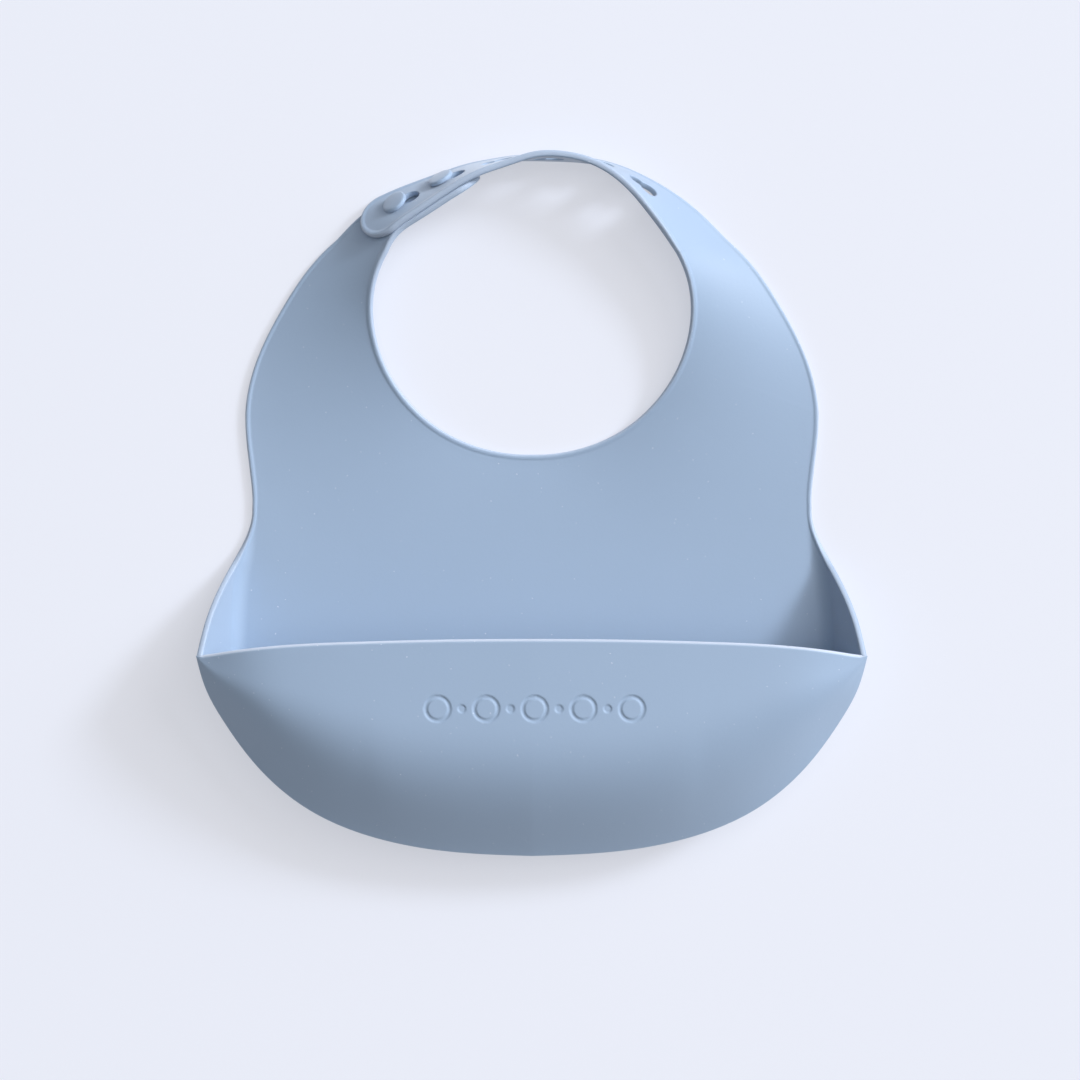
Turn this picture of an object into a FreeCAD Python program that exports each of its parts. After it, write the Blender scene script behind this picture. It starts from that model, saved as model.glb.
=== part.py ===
import FreeCAD, Part
import math, os

# Silicone baby bib with a catch pocket and an adjustable collar.
# X to the wearer's left as seen from the front, Y towards the neck, Z out of
# the chest. The back of the chest panel lies on z = 0. Sizes in millimetres.

V = FreeCAD.Vector

# ---------------------------------------------------------------- driving sizes
WIDTH = 223.2            # across the two pocket corners
LENGTH = 237.0           # pocket bottom to the back of the closed collar
DEPTH = 37.0             # back sheet to the crown of the pocket front
SHEET = 1.8              # chest panel and pocket wall
STRAP_T = 2.0            # collar straps
LIP_T = 1.5              # pocket front
STRAP_W = 20.5           # strap width
FOLD_Y = 6.0             # line on which the chest panel folds
FLAP_HALF = 80.0         # half length of the flexing middle of the pocket lip
FLAP_Y = -78.0           # line on which that middle flexes
CUT = 0.3                # gap at a flexing line
STACK = 0.35             # gap between the two fastened straps
NECK_Y = 79.0            # centre of the neck opening
STUD_PITCH = 17.0
STEM_R = 2.1
HEAD_R = 4.4
HEAD_H = 1.7
KEY_CLEAR = 0.4          # play between a stem and the small end of a keyhole
KEY_SMALL_R = STEM_R + KEY_CLEAR
KEY_BIG_R = 3.3          # end of a keyhole that lets the head in
KEY_STEP = 5.0           # between the two ends
TAB_END = 3.9            # last stem to the centre of the round tab end
STUD_X = -44.6           # stem nearest the tab end, at the button strap face

NOMINAL = (223.2, 237.0, 37.0)
SX, SY, SZ = WIDTH / NOMINAL[0], LENGTH / NOMINAL[1], DEPTH / NOMINAL[2]

# Outline stations of the right half, (x, y, z), on the nominal bib.
SIDE = [(96.2, 6.0, 0.3), (100.3, -4.0, 2.8), (105.6, -15.5, 12.0),
        (109.6, -28.0, 22.2), (111.6, -38.5, 28.0)]
BOTTOM = [(111.6, -38.5, 28.0), (108.6, -50.0, 24.5), (103.4, -60.2, 21.5),
          (92.6, -75.4, 19.0), (75.6, -90.2, 17.5), (52.1, -100.3, 16.5),
          (26.0, -105.0, 16.0), (0.0, -106.3, 16.0)]
LIP = [(111.6, -38.5, 28.0), (108.0, -38.1, 29.2), (103.0, -37.3, 31.0), (95.0, -36.1, 33.4),
       (80.0, -34.6, 35.3), (56.0, -33.5, 36.3), (28.0, -32.8, 36.8), (0.0, -32.6, 37.0)]
# Collar stations of the right half: angle about the neck centre, radius of the
# neck edge, radius of the outer edge.
COLLAR = [(-37.2, 52.6, 120.8), (-30, 53.0, 111.4), (-20, 53.4, 104.4), (-10, 53.6, 95.2),
          (0, 53.5, 85.3), (10, 52.8, 77.5), (20, 51.4, 70.5)]
# Neck edge below those stations, down to the middle of the chest.
NECK_LOW = [(-90, 49.8), (-75, 50.3), (-60, 51.2), (-48, 52.0), (-37.2, 52.6)]
# Strap stations in plan: neck edge x, y, its height, then the outer edge x, y.
# Holed strap, from the right shoulder over the back of the neck.
HOLE_STRAP = [(48.3, 96.6, 14.6, 66.3, 103.1), (43.2, 103.9, 15.6, 57.3, 111.9),
              (37.9, 110.7, 17.0, 48.2, 118.9), (32.2, 117.2, 18.9, 38.5, 124.4),
              (25.3, 122.9, 20.0, 29.0, 128.3), (17.6, 126.6, 20.4, 19.2, 130.5),
              (9.0, 128.3, 20.5, 9.4, 131.2), (2.0, 128.2, 20.5, 1.8, 131.4),
              (-4.6, 126.4, 20.3, -5.7, 131.3)]
# Round-ended tab of the holed strap, up to where it meets the button strap.
TAB = [(-4.6, 126.4, 20.3, -5.7, 131.3), (-11.0, 124.2, 20.2, -13.0, 130.3)]
# Button strap from the left shoulder to its end under the tab.
BUTTON_STRAP = [(-48.3, 96.6, 14.6, -66.3, 103.1), (-46.5, 100.1, 15.2, -61.4, 108.3),
                (-43.4, 103.6, 15.6, -55.4, 113.2), (-38.2, 107.0, 16.7, -46.8, 117.6),
                (-31.1, 111.4, 18.0, -37.4, 121.1), (-24.4, 115.6, 19.0, -29.1, 124.0),
                (-16.0, 120.0, 19.7, -19.7, 126.8)]


# ---------------------------------------------------------------- small helpers
def lerp(a, b, t):
    return a + (b - a) * t


def smooth(t):
    t = min(max(t, 0.0), 1.0)
    return t * t * (3 - 2 * t)


def solve(rows, rhs):
    """Gaussian elimination; every right-hand side is a list of vectors."""
    n = len(rows)
    a = [list(r) for r in rows]
    b = [list(r) for r in rhs]
    for i in range(n):
        p = max(range(i, n), key=lambda k: abs(a[k][i]))
        a[i], a[p] = a[p], a[i]
        b[i], b[p] = b[p], b[i]
        for k in range(i + 1, n):
            f = a[k][i] / a[i][i]
            if f:
                a[k] = [x - f * y for x, y in zip(a[k], a[i])]
                b[k] = [x - y * f for x, y in zip(b[k], b[i])]
    for i in reversed(range(n)):
        for k in range(i + 1, n):
            if a[i][k]:
                b[i] = [x - y * a[i][k] for x, y in zip(b[i], b[k])]
        b[i] = [x * (1.0 / a[i][i]) for x in b[i]]
    return b


def knots_for(params):
    """Clamped cubic knots by averaging."""
    n = len(params)
    inner = [sum(params[j:j + 3]) / 3.0 for j in range(1, n - 3)]
    return [0.0] * 4 + inner + [1.0] * 4


def basis(i, p, u, k):
    if p == 0:
        last = u >= k[-1] and k[i] < k[i + 1] and k[i + 1] >= k[-1]
        return 1.0 if (k[i] <= u < k[i + 1]) or last else 0.0
    out = 0.0
    if k[i + p] > k[i]:
        out += (u - k[i]) / (k[i + p] - k[i]) * basis(i, p - 1, u, k)
    if k[i + p + 1] > k[i + 1]:
        out += (k[i + p + 1] - u) / (k[i + p + 1] - k[i + 1]) * basis(i + 1, p - 1, u, k)
    return out


def poles_through(lines, params, k):
    m = [[basis(j, 3, u, k) for j in range(len(params))] for u in params]
    return solve(m, lines)


def surface(grid, up, vp):
    """Cubic surface through a grid of points with given parameters."""
    ku, kv = knots_for(up), knots_for(vp)
    rows = poles_through(grid, up, ku)
    cols = poles_through([list(c) for c in zip(*rows)], vp, kv)
    poles = [list(c) for c in zip(*cols)]
    s = Part.BSplineSurface()
    s.buildFromPolesMultsKnots(
        poles, [4] + [1] * (len(ku) - 8) + [4], [4] + [1] * (len(kv) - 8) + [4],
        sorted(set(ku)), sorted(set(kv)), False, False, 3, 3)
    return s


def even(n):
    return [i / (n - 1.0) for i in range(n)]


def chord(points):
    d = [0.0]
    for a, b in zip(points, points[1:]):
        d.append(d[-1] + (b - a).Length)
    return [x / d[-1] for x in d]


def slab(low, high, up):
    """Solid between two grids of the same size, closed by ruled sides."""
    vp = even(len(low[0]))
    a, b = surface(low, up, vp), surface(high, up, vp)
    faces = [a.toShape(), b.toShape()]
    for iso in (lambda s: s.uIso(0.0), lambda s: s.uIso(1.0), lambda s: s.vIso(0.0), lambda s: s.vIso(1.0)):
        faces.append(Part.makeRuledSurface(iso(a).toShape(), iso(b).toShape()))
    shell = Part.Shell(faces)
    shell.sewShape()
    solid = Part.Solid(shell)
    if solid.Volume < 0:
        solid.reverse()
    return solid, a, b


def curve(stations):
    """Smooth curve through (x, y, z) stations of the nominal bib; gives f(t)."""
    pts = [V(x * SX, y * SY, z * SZ) for x, y, z in stations]
    par = chord(pts)
    c = Part.BSplineCurve()
    c.interpolate(Points=pts, Parameters=par)
    return c


def plan_normal(c, t):
    """Unit vector in plan, left of the direction of travel."""
    d = c.tangent(t)[0]
    n = V(-d.y, d.x, 0)
    return n.normalize()


# ---------------------------------------------------------------- pocket
side, bottom, lip = curve(SIDE), curve(BOTTOM), curve(LIP)
V_STEPS = 9


def rim_profile(s, run, rise, roll):
    """Point and slope of the wall section; s runs from the flat sheet up to the edge."""
    q = math.pi * s / 2
    r = run * lerp(s, math.sin(q), roll)
    z = rise * lerp(s * s, 1 - math.cos(q), roll)
    dr = run * lerp(1.0, math.pi / 2 * math.cos(q), roll)
    dz = rise * lerp(2 * s, math.pi / 2 * math.sin(q), roll)
    return r, z, dr, dz


def rim_row(edge, inward, run, roll):
    """Outer and inner points of the rising wall, from the flat sheet to the edge."""
    low, high = [], []
    for s in even(V_STEPS):
        r, z, dr, dz = rim_profile(s, run, edge.z, roll)
        p = V(edge.x, edge.y, 0) + inward * (run - r) + V(0, 0, z)
        n = (inward * dz + V(0, 0, dr)).normalize()
        low.append(p)
        high.append(p + n * SHEET)
    return low, high


RUN_CORNER, RUN_WAIST, RUN_BOTTOM = 12.5, 9.0, 18.0   # width of the rising wall in plan
TURN_END = 0.30          # share of the half outline over which the wall turns square to it
RUN_END = 0.45           # share over which it widens
ROLL_IN = 0.25           # share over which its section becomes a quarter round


def inward_at(t):
    """Direction in plan from the outline towards the middle, level at the corner."""
    turn = smooth(t / TURN_END)
    if t >= 1.0:
        return V(0, 1, 0)
    return (V(-1, 0, 0) * (1 - turn) - plan_normal(bottom, t) * turn).normalize()


def rim_patch(stations):
    return [list(g) for g in zip(*[rim_row(*s) for s in stations])]


def side_rows(n):
    """Waist to the right corner."""
    return [(side.value(t), V(-1, 0, 0), lerp(RUN_WAIST, RUN_CORNER, smooth(t)), 0.0) for t in even(n)]


def bottom_rows(n):
    """Right corner to the middle of the pocket bottom."""
    return [(bottom.value(t), inward_at(t), lerp(RUN_CORNER, RUN_BOTTOM, smooth(t / RUN_END)),
             smooth(t / ROLL_IN)) for t in even(n)]


def mirrored(row):
    e, d, run, roll = row
    return V(-e.x, e.y, e.z), V(-d.x, d.y, d.z), run, roll


SIDE_ROWS, HALF_ROWS = 9, 17

right_rows = bottom_rows(HALF_ROWS)
bottom_all = right_rows + [mirrored(r) for r in reversed(right_rows[:-1])]
rim_bottom, bottom_low, _ = slab(*rim_patch(bottom_all), chord([r[0] for r in bottom_all]))
side_list = side_rows(SIDE_ROWS)
rim_right, side_low, _ = slab(*rim_patch(side_list), chord([r[0] for r in side_list]))
rim_left = rim_right.mirror(V(0, 0, 0), V(1, 0, 0))

# Front of the pocket: rows from the outermost line up and over to the lip.
FRONT_STEPS = 13
FRONT_END = 0.955        # share of the half outline the front sheet covers
LIP_MATCH = 1.25         # how far the rows lean towards the corner on their way to the lip
BEND = 0.42              # share of a row that leaves the outline square to it
ROLL_R, ROLL_SHARE = 50.0, 0.80   # rounding of the front over its outline, longest and as a share
ROLL_FOOT = 1.5          # higher gives the rounding a gentler foot
EASE = 0.25              # evenness of the steps along a row
CLEAR = 0.02             # the front stands this far off the wall it is joined to


def front_row(t):
    e, l, d = bottom.value(t), lip.value(1 - (1 - t) ** LIP_MATCH), inward_at(t)
    length = V(l.x - e.x, l.y - e.y, 0).Length
    q = V(e.x, e.y, 0) + d * length * BEND
    roll = min(ROLL_R, length * ROLL_SHARE)
    outer = []
    for s in even(FRONT_STEPS):
        w = lerp(1 - math.cos(math.pi / 2 * s), s, EASE)
        p = (V(e.x, e.y, 0) * (1 - w) ** 2 + q * (2 * w * (1 - w)) + V(l.x, l.y, 0) * w * w)
        k = min(w * length / roll, 1.0)
        rise = 1 - (1 - k) ** 3 * (1 + ROLL_FOOT * k)
        outer.append(V(p.x, p.y, e.z + (l.z - e.z) * rise))
    return outer


def offset_rows(rows, thick, first):
    """Inner side of the front sheet; the first column is pushed level."""
    out = []
    n, m = len(rows), len(rows[0])
    for i in range(n):
        line = []
        for j in range(m):
            du = rows[min(i + 1, n - 1)][j] - rows[max(i - 1, 0)][j]
            dv = rows[i][min(j + 1, m - 1)] - rows[i][max(j - 1, 0)]
            nrm = du.cross(dv).normalize()
            if nrm.z > 0:
                nrm = nrm * -1.0
            if j == 0:
                nrm = first[i]
            line.append(rows[i][j] + nrm * thick[j])
        out.append(line)
    return out


ts = [1 - FRONT_END + FRONT_END * x for x in even(HALF_ROWS)]
half = [front_row(t) for t in ts]
dirs = [inward_at(t) for t in ts]
front_out = half + [[V(-p.x, p.y, p.z) for p in r] for r in reversed(half[:-1])]
front_dir = dirs + [V(-d.x, d.y, d.z) for d in reversed(dirs[:-1])]
thick = [lerp(SHEET, LIP_T, smooth(j / 4.0)) for j in range(FRONT_STEPS)]
front_in = offset_rows(front_out, thick, front_dir)
front = slab(front_in, front_out, chord([r[0] for r in front_out]))[0]
front.translate(V(0, 0, CLEAR))

pocket_rim = rim_right.multiFuse([rim_bottom, rim_left]).removeSplitter()
flat_edges = [side_low.vIso(0.0).toShape(), bottom_low.vIso(0.0).toShape()]
flat_edges.append(flat_edges[0].mirror(V(0, 0, 0), V(1, 0, 0)))
root = side_list[0][0] + side_list[0][1] * side_list[0][2]
flat_edges.append(Part.makeLine(V(root.x, root.y, 0), V(-root.x, root.y, 0)))
chest_panel = Part.Face(Part.Wire(Part.__sortEdges__(flat_edges))).extrude(V(0, 0, SHEET))


def box(x0, x1, y0, y1, z0, z1):
    return Part.makeBox(x1 - x0, y1 - y0, z1 - z0, V(x0, y0, z0))


flap_half, flap_y = FLAP_HALF * SX, FLAP_Y * SY
pocket_flap = front.common(box(-flap_half, flap_half, flap_y, 0, 0, 2 * DEPTH))
pocket_front = front.cut(box(-flap_half - CUT, flap_half + CUT, flap_y - CUT, 0, 0, 2 * DEPTH))

# ---------------------------------------------------------------- chest and collar
NECK_RISE = 0.217        # slope of the neck edge towards the back
NECK_FRONT_Y = 29.2
fold_y = FOLD_Y * SY


def collar_row(xi, yi, zi, xo, yo, t):
    """Neck edge and outer edge of the underside, set so the top edge is the visible outline."""
    a = V(xi * SX, yi * SY, zi)
    d = V(xo * SX - a.x, yo * SY - a.y, 0)
    reach = d.Length
    d.normalize()
    tilt = math.atan2(zi, reach)
    for _ in range(4):
        tilt = math.atan2(zi, reach - t * math.sin(tilt))
    b = a + d * (reach - t * math.sin(tilt)) + V(0, 0, -zi)
    return a, b


def polar(angle, radius):
    q = math.radians(angle)
    return radius * math.cos(q), NECK_Y + radius * math.sin(q)


def neck_height(y):
    return max(NECK_RISE * (y - NECK_FRONT_Y), 0.0)


def yoke_rows():
    """Rows from the middle of the fold line round to the right shoulder."""
    low_part, side_part = [], []
    for angle, r in NECK_LOW:
        xi, yi = polar(angle, r)
        xo = -(NECK_Y - FOLD_Y) / math.tan(math.radians(angle))
        if angle == NECK_LOW[-1][0]:
            xo = SIDE[0][0]
        low_part.append((V(xi * SX, yi * SY, neck_height(yi)), V(xo * SX, fold_y + CUT, 0)))
    for angle, ri, ro in COLLAR:
        xi, yi = polar(angle, ri)
        xo, yo = polar(angle, ro)
        if angle == COLLAR[0][0]:
            side_part.append(low_part[-1])
        else:
            side_part.append(collar_row(xi, yi, neck_height(yi), xo, yo, SHEET))
    return low_part, side_part


def thicken(rows, t, gap=0.0, steps=5):
    """Grids for the two faces of a sheet whose rows are straight."""
    low, high = [], []
    for a, b in rows:
        d = V(b.x - a.x, b.y - a.y, 0)
        rise = a.z - b.z
        n = (d * (rise / d.Length) + V(0, 0, d.Length)).normalize()
        line = [a + (b - a) * s + n * gap for s in even(steps)]
        low.append(line)
        high.append([p + n * t for p in line])
    return low, high


def mirror_rows(rows):
    return [(V(-a.x, a.y, a.z), V(-b.x, b.y, b.z)) for a, b in rows]


low_part, side_part = yoke_rows()
low_all = mirror_rows(low_part[:0:-1]) + low_part
sheets = []
for rows in (low_all, side_part, mirror_rows(side_part)):
    grids = thicken(rows, SHEET)
    sheets.append(slab(grids[0], grids[1], chord([r[0] for r in grids[0]]))[0])
yoke = sheets[0].multiFuse(sheets[1:]).removeSplitter()


def strap_rows(stations):
    """Rows of a strap, the first one held one cut back from its neighbour."""
    rows = [collar_row(*s, STRAP_T) for s in stations]
    rows[0] = tuple(p + (q - p).normalize() * CUT for p, q in zip(rows[0], rows[1]))
    return rows


def strap_grids(rows):
    low, high = thicken(rows, STRAP_T)
    up = chord([r[len(r) // 2] for r in low])
    return low, high, up


hole_strap, _, hole_top = slab(*strap_grids(strap_rows(HOLE_STRAP)))
button_rows = strap_rows(BUTTON_STRAP)
button_strap, _, button_top = slab(*strap_grids(button_rows))

# The tab follows the button strap one thickness and a small gap above it.
over = thicken(button_rows, STRAP_T, STRAP_T + STACK)
own = thicken(strap_rows(TAB), STRAP_T)
tab_low, tab_high = own[0] + over[0][::-1], own[1] + over[1][::-1]
tab, _, tab_top = slab(tab_low, tab_high, chord([r[2] for r in tab_low]))


def along(surface_, u0, u1, steps=240):
    """Middle line of a strap as (parameter, point) pairs."""
    return [(lerp(u0, u1, k / steps), surface_.value(lerp(u0, u1, k / steps), 0.5)) for k in range(steps + 1)]


def frame_at(surface_, u, v=0.5):
    """Point, outward normal and direction along the strap."""
    n = surface_.normal(u, v)
    if n.z < 0 or (abs(n.z) < 0.2 and n.y < 0):
        n = n * -1.0
    e = surface_.value(min(u + 0.01, 1.0), v) - surface_.value(max(u - 0.01, 0.0), v)
    return surface_.value(u, v), n.normalize(), e.normalize()


def walk(line, start, distance):
    """Parameter found by going a distance along a middle line from an index."""
    d, i = 0.0, start
    while d < distance and i + 1 < len(line):
        d += (line[i + 1][1] - line[i][1]).Length
        i += 1
    return i


button_line = along(button_top, 0.0, 1.0)
first = min(range(len(button_line)), key=lambda k: abs(button_line[k][1].x - STUD_X * SX))
second = walk(button_line, first, STUD_PITCH)
stud_frames = [frame_at(button_top, button_line[k][0]) for k in (first, second)]

head_low = 2 * STACK + STRAP_T
STEM_ROOT, STEM_IN_HEAD = 0.6, 0.4     # how far the stem runs into the strap and into the head
HEAD_ROUND = 0.42        # edge rounding as a share of the head height
studs = []
for p, n, e in stud_frames:
    stem = Part.makeCylinder(STEM_R, STEM_ROOT + head_low + STEM_IN_HEAD, p - n * STEM_ROOT, n)
    head = Part.makeCylinder(HEAD_R, HEAD_H, p + n * head_low, n)
    head = head.makeFillet(HEAD_H * HEAD_ROUND, [head.Edges[k] for k in (0, 2)])
    studs.append(stem.fuse(head).removeSplitter().cut(button_strap))


REACH = 9.0              # how far the cutters pass through a strap on each side
NECK_SHARE = 0.72        # half width of a keyhole's neck as a share of its small end


def plate(c, n, e, w, back, ahead, wide):
    """Straight cutter about c: from back to ahead along e, wide to each side along w."""
    c = c - n * REACH
    corners = [c - e * back + w * wide, c + e * ahead + w * wide, c + e * ahead - w * wide,
               c - e * back - w * wide]
    return Part.Face(Part.makePolygon(corners + corners[:1])).extrude(n * (2 * REACH))


def keyhole(p, n, e):
    """Cutter for a keyhole; e points from the small end to the large end."""
    w = n.cross(e).normalize()
    small = Part.makeCylinder(KEY_SMALL_R, 2 * REACH, p - n * REACH, n)
    large = Part.makeCylinder(KEY_BIG_R, 2 * REACH, p + e * KEY_STEP - n * REACH, n)
    return small.multiFuse([large, plate(p, n, e, w, 0.0, KEY_STEP, KEY_SMALL_R * NECK_SHARE)])


# Keyholes 1 and 2 sit on the studs, one more ends the tab and three follow on the strap at the same pitch.
for p, n, e in stud_frames:
    tab = tab.cut(keyhole(p, n, e))
tab_line = along(tab_top, 1.0, 0.0)
start = min(range(len(tab_line)), key=lambda k: (tab_line[k][1] - stud_frames[1][0]).Length)
third = walk(tab_line, start, STUD_PITCH)
p, n, e = frame_at(tab_top, tab_line[third][0])
tab = tab.cut(keyhole(p, n, e * -1.0))
done = sum((tab_line[k + 1][1] - tab_line[k][1]).Length for k in range(third, len(tab_line) - 1))
hole_line = along(hole_top, 1.0, 0.0)
at = 0
for k in range(3):
    at = walk(hole_line, at, STUD_PITCH - done if k == 0 else STUD_PITCH)
    p, n, e = frame_at(hole_top, hole_line[at][0])
    hole_strap = hole_strap.cut(keyhole(p, n, e * -1.0))

# Round end of the tab: everything beyond a stadium about the last stem goes.
p, n, e = stud_frames[0]
w = n.cross(e).normalize()
half_w, wide = STRAP_W / 2, 2 * STRAP_W
c = p - e * TAB_END
length = STUD_PITCH + TAB_END
keep = plate(c, n, e, w, 0.0, length, half_w).fuse(Part.makeCylinder(half_w, 2 * REACH, c - n * REACH, n))
tab = tab.cut(plate(c, n, e, w, wide, length, wide).cut(keep))

# ---------------------------------------------------------------- output
os.makedirs("parts", exist_ok=True)
nodes = {"chest_panel": chest_panel, "pocket_rim": pocket_rim, "pocket_front": pocket_front,
         "pocket_flap": pocket_flap, "yoke": yoke, "hole_strap": hole_strap, "strap_tab": tab,
         "button_strap": button_strap, "stud_1": studs[0], "stud_2": studs[1]}
for name, shape in nodes.items():
    if len(shape.Solids) == 1:
        shape = shape.Solids[0]
    b = shape.BoundBox
    print(name, len(shape.Solids), shape.isValid(), round(shape.Volume, 1),
          [round(v, 2) for v in (b.XMin, b.XMax, b.YMin, b.YMax, b.ZMin, b.ZMax)])
    shape.exportStep("parts/%s.step" % name)
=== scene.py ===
# %% [markdown]
# # Silicone bib
# The CAD part is loaded first. It fixes where every piece sits, how large it is and what it moves with; the
# scene only gives each of those pieces its looks.
# %%
import math

import bmesh
import bpy
import numpy as np
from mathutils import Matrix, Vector


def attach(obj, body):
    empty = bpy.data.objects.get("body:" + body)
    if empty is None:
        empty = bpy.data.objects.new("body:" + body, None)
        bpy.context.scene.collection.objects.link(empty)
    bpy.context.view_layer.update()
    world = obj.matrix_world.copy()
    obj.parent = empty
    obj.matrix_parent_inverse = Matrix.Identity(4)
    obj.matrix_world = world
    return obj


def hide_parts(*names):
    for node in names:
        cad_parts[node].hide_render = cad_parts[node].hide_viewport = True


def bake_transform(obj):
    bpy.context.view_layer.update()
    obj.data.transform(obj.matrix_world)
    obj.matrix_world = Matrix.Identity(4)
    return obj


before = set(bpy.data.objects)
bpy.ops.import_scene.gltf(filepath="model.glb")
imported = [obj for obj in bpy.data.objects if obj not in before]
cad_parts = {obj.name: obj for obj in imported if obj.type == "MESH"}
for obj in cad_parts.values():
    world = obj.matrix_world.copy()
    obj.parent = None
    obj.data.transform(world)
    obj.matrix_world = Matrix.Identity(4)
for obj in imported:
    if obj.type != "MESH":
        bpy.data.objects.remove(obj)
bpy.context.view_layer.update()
print("CAD nodes:", ", ".join(sorted(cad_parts)))

# %% [markdown]
# Sizes are in millimetres. The stations below are points on the moulding: the free side edge, the widest
# line round the pocket, the pocket lip, the collar (angle about the neck centre, neck radius, outer radius)
# and the two straps (neck edge x, y, height, then outer edge x, y).
# %%
MM = 0.001
SHEET, STRAP_T, LIP_T, STRAP_W = 1.8, 2.0, 1.5, 20.5
STACK, NECK_Y, FOLD_Y = 0.35, 79.0, 6.0
STUD_X, STUD_PITCH, STEM_R, HEAD_R, HEAD_H = -44.6, 17.0, 2.1, 4.4, 1.7
KEY_SMALL_R, KEY_BIG_R, KEY_STEP, TAB_END = 2.5, 3.3, 5.0, 3.9

SIDE = [(96.2, 6.0, 0.3), (100.3, -4.0, 2.8), (105.6, -15.5, 12.0),
        (109.6, -28.0, 22.2), (111.6, -38.5, 28.0)]
BOTTOM = [(111.6, -38.5, 28.0), (108.6, -50.0, 24.5), (103.4, -60.2, 21.5),
          (92.6, -75.4, 19.0), (75.6, -90.2, 17.5), (52.1, -100.3, 16.5),
          (26.0, -105.0, 16.0), (0.0, -106.3, 16.0)]
LIP = [(111.6, -38.5, 28.0), (108.0, -38.1, 29.2), (103.0, -37.3, 31.0), (95.0, -36.1, 33.4),
       (80.0, -34.6, 35.3), (56.0, -33.5, 36.3), (28.0, -32.8, 36.8), (0.0, -32.6, 37.0)]
COLLAR = [(-37.2, 52.6, 120.8), (-30, 53.0, 111.4), (-20, 53.4, 104.4), (-10, 53.6, 95.2),
          (0, 53.5, 85.3), (10, 52.8, 77.5), (20, 51.4, 70.5)]
NECK_LOW = [(-90, 49.8), (-75, 50.3), (-60, 51.2), (-48, 52.0)]
HOLE_STRAP = [(48.3, 96.6, 14.6, 66.3, 103.1), (43.2, 103.9, 15.6, 57.3, 111.9),
              (37.9, 110.7, 17.0, 48.2, 118.9), (32.2, 117.2, 18.9, 38.5, 124.4),
              (25.3, 122.9, 20.0, 29.0, 128.3), (17.6, 126.6, 20.4, 19.2, 130.5),
              (9.0, 128.3, 20.5, 9.4, 131.2), (2.0, 128.2, 20.5, 1.8, 131.4),
              (-4.6, 126.4, 20.3, -5.7, 131.3), (-11.0, 124.2, 20.2, -13.0, 130.3)]
BUTTON_STRAP = [(-48.3, 96.6, 14.6, -66.3, 103.1), (-46.5, 100.1, 15.2, -61.4, 108.3),
                (-43.4, 103.6, 15.6, -55.4, 113.2), (-38.2, 107.0, 16.7, -46.8, 117.6),
                (-31.1, 111.4, 18.0, -37.4, 121.1), (-24.4, 115.6, 19.0, -29.1, 124.0),
                (-16.0, 120.0, 19.7, -19.7, 126.8)]
print("stations:", len(SIDE + BOTTOM + LIP), "pocket,", len(COLLAR), "collar")

# %% [markdown]
# Small helpers: vectors, an even ease, and a natural cubic through a table of numbers.
# %%


def vec(*p):
    return np.array(p, float)


def unit(a):
    return a / np.maximum(np.linalg.norm(a, axis=-1, keepdims=True), 1e-12)


def smooth(t):
    t = np.clip(t, 0, 1)
    return t * t * (3 - 2 * t)


def spline(points, par=None):
    """Natural cubic through rows of numbers; the parameter runs by length unless given."""
    p = np.asarray(points, float)
    n = len(p)
    if par is None:
        step = np.linalg.norm(np.diff(p[:, :3], axis=0), axis=1)
        par = np.r_[0, np.cumsum(step)] / step.sum()
    t = np.asarray(par, float)
    h = np.diff(t)
    a, r = np.eye(n), np.zeros_like(p)
    for i in range(1, n - 1):
        a[i, i - 1:i + 2] = h[i - 1], 2 * (h[i - 1] + h[i]), h[i]
        r[i] = 6 * ((p[i + 1] - p[i]) / h[i] - (p[i] - p[i - 1]) / h[i - 1])
    m = np.linalg.solve(a, r)

    def at(u):
        u = np.atleast_1d(np.asarray(u, float))
        i = np.clip(np.searchsorted(t, u) - 1, 0, n - 2)
        b, c, k = (t[i + 1] - u)[:, None], (u - t[i])[:, None], h[i][:, None]
        return (m[i] * b**3 + m[i + 1] * c**3) / (6 * k) + (p[i] / k - m[i] * k / 6) * b + (
            p[i + 1] / k - m[i + 1] * k / 6) * c
    return at


def table(pairs):
    """Smooth function through (x, y) pairs, level beyond both ends."""
    x, y = np.array(pairs, float).T
    order = np.argsort(x)
    x, y = x[order], y[order]
    f = spline(y[:, None], x)
    return lambda v: f(np.clip(v, x[0], x[-1]))[:, 0]


# %% [markdown]
# Meshes are made from closed sections placed one after another. Every section carries the same moulded edge:
# a low rounded bead. Points on an edge are marked, and the material paints a pale highlight along them.
# %%
CREASE = math.radians(50)       # edges sharper than this stay crisp
RIM = 2.4                       # width of the shaped margin along an edge
BEAD = 0.25                     # height of the bead over the sheet


def make_mesh(name, verts, faces, pale=None):
    """Mesh object from millimetre points, all faces outwards, smooth shaded."""
    mesh = bpy.data.meshes.new(name)
    mesh.from_pydata((np.asarray(verts) * MM).tolist(), [], [tuple(map(int, f)) for f in faces])
    # painted highlight: each point's share of the pale edge colour, read by the material
    mark = mesh.attributes.new("edge", "FLOAT", "POINT")
    if pale is not None:
        mark.data.foreach_set("value", np.asarray(pale, np.float32))
    bm = bmesh.new()
    bm.from_mesh(mesh)
    bmesh.ops.recalc_face_normals(bm, faces=bm.faces)
    bm.to_mesh(mesh)
    bm.free()
    mesh.shade_smooth()
    mesh.set_sharp_from_angle(angle=CREASE)
    obj = bpy.data.objects.new(name, mesh)
    bpy.context.scene.collection.objects.link(obj)
    print(f"{name}: {len(mesh.polygons)} faces")
    return obj


def ring_faces(rows, cols):
    """Quads between closed rings of points."""
    i, j = np.meshgrid(np.arange(rows - 1), np.arange(cols), indexing="ij")
    a, b = i * cols + j, i * cols + (j + 1) % cols
    return [tuple(q) for q in np.stack([a, b, b + cols, a + cols], -1).reshape(-1, 4)]


def end_caps(rows, cols):
    return [tuple(range(cols)), tuple(range((rows - 1) * cols, rows * cols))]


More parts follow.
